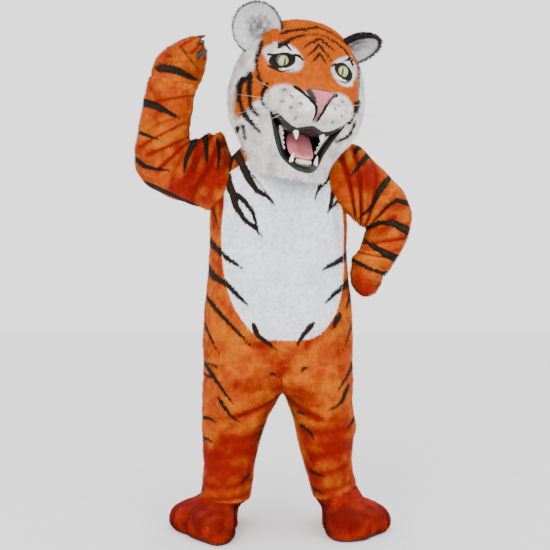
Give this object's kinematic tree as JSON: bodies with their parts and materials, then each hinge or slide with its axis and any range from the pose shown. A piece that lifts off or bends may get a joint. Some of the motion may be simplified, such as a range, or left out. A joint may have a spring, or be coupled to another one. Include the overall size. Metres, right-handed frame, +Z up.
{
  "type": "tiger mascot costume",
  "caption": "Full-body plush tiger costume as worn: hollow head with open mouth, striped suit with white belly, paw gloves and paw boots, one arm raised.",
  "frame": {"origin": "between the wearer's shoulders, 1.40 m above the floor that the soles stand on", "axes": "+Z up, the costume faces -Y, and +X is the wearer's left, the viewer's right"},
  "size_m": [0.989, 0.5808, 1.8792],
  "materials": {
    "orange_plush": "long-pile orange plush with a soft sheen",
    "red_plush": "short-pile deep red plush",
    "white_plush": "short-pile white plush, cool in the shade",
    "sole": "matt dark sole",
    "black_rubber": "near-black moulded rubber, half matt",
    "pink_rubber": "smooth pink moulded rubber",
    "tooth": "cream, glossy",
    "eye": "yellow-green glass look with a dark slit",
    "whisker": "thin pale filament"
  },
  "bodies": {
    "root": {"back_left": "orange_plush", "back_right": "orange_plush", "belly_panel": "white_plush", "boot_left": "red_plush", "boot_right": "red_plush", "claw_left_1": "black_rubber", "claw_left_2": "black_rubber", "claw_left_3": "black_rubber", "claw_left_4": "black_rubber", "claw_right_1": "black_rubber", "claw_right_2": "black_rubber", "claw_right_3": "black_rubber", "claw_right_4": "black_rubber", "ear_left": "white_plush", "ear_right": "white_plush", "eye_left": "eye", "eye_right": "eye", "fang_lower_left": "tooth", "fang_lower_right": "tooth", "fang_upper_left": "tooth", "fang_upper_right": "tooth", "front_left": "orange_plush", "front_right": "orange_plush", "glove_left": "orange_plush", "glove_right": "orange_plush", "head_shell": "orange_plush", "leg_left": "orange_plush", "leg_right": "orange_plush", "mouth_lining": "black_rubber", "nose": "pink_rubber", "sleeve_left": "orange_plush", "sleeve_right": "orange_plush", "sole_left": "sole", "sole_right": "sole", "teeth_front": "tooth", "teeth_left": "tooth", "teeth_right": "tooth", "tongue": "pink_rubber", "whisker_left_1": "whisker", "whisker_left_2": "whisker", "whisker_left_3": "whisker", "whisker_left_4": "whisker", "whisker_right_1": "whisker", "whisker_right_2": "whisker", "whisker_right_3": "whisker", "whisker_right_4": "whisker", "zip_flap": "orange_plush"}
  },
  "joints": []
}
